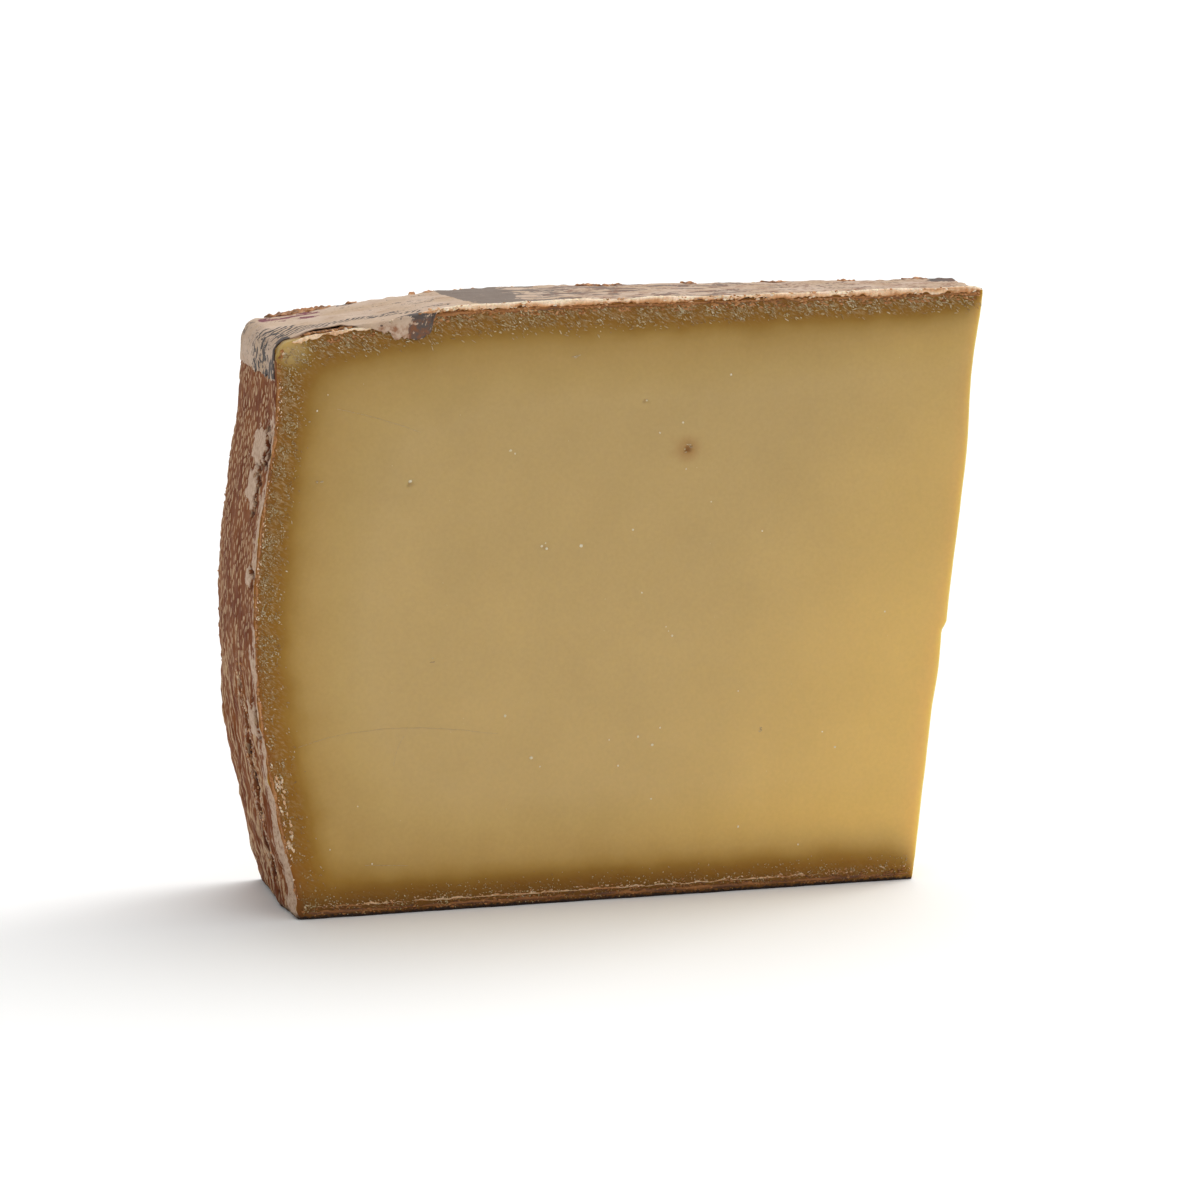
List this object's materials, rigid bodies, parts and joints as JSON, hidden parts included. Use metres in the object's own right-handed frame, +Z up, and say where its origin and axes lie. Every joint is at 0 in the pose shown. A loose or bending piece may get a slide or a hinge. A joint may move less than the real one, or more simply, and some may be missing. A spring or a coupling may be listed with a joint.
{
  "type": "cheese wedge",
  "caption": "Upright wedge cut from a wheel of hard pressed cheese, with natural rind on the rim, top and base and the wheel's paper label stuck over the top.",
  "frame": {"origin": "on the resting face, under the middle of the slice's bounding box", "axes": "+X from the rim towards the wheel's centre along the middle of the slice, +Y across its thickness, +Z up along the wheel's axis"},
  "size_m": [0.138, 0.0376, 0.1101],
  "materials": {
    "cheese": null,
    "label_paper": "thin printed paper, worn and stained by the rind"
  },
  "bodies": {
    "root": {"cheese_wedge": "cheese", "paper_label": "label_paper"}
  },
  "joints": []
}
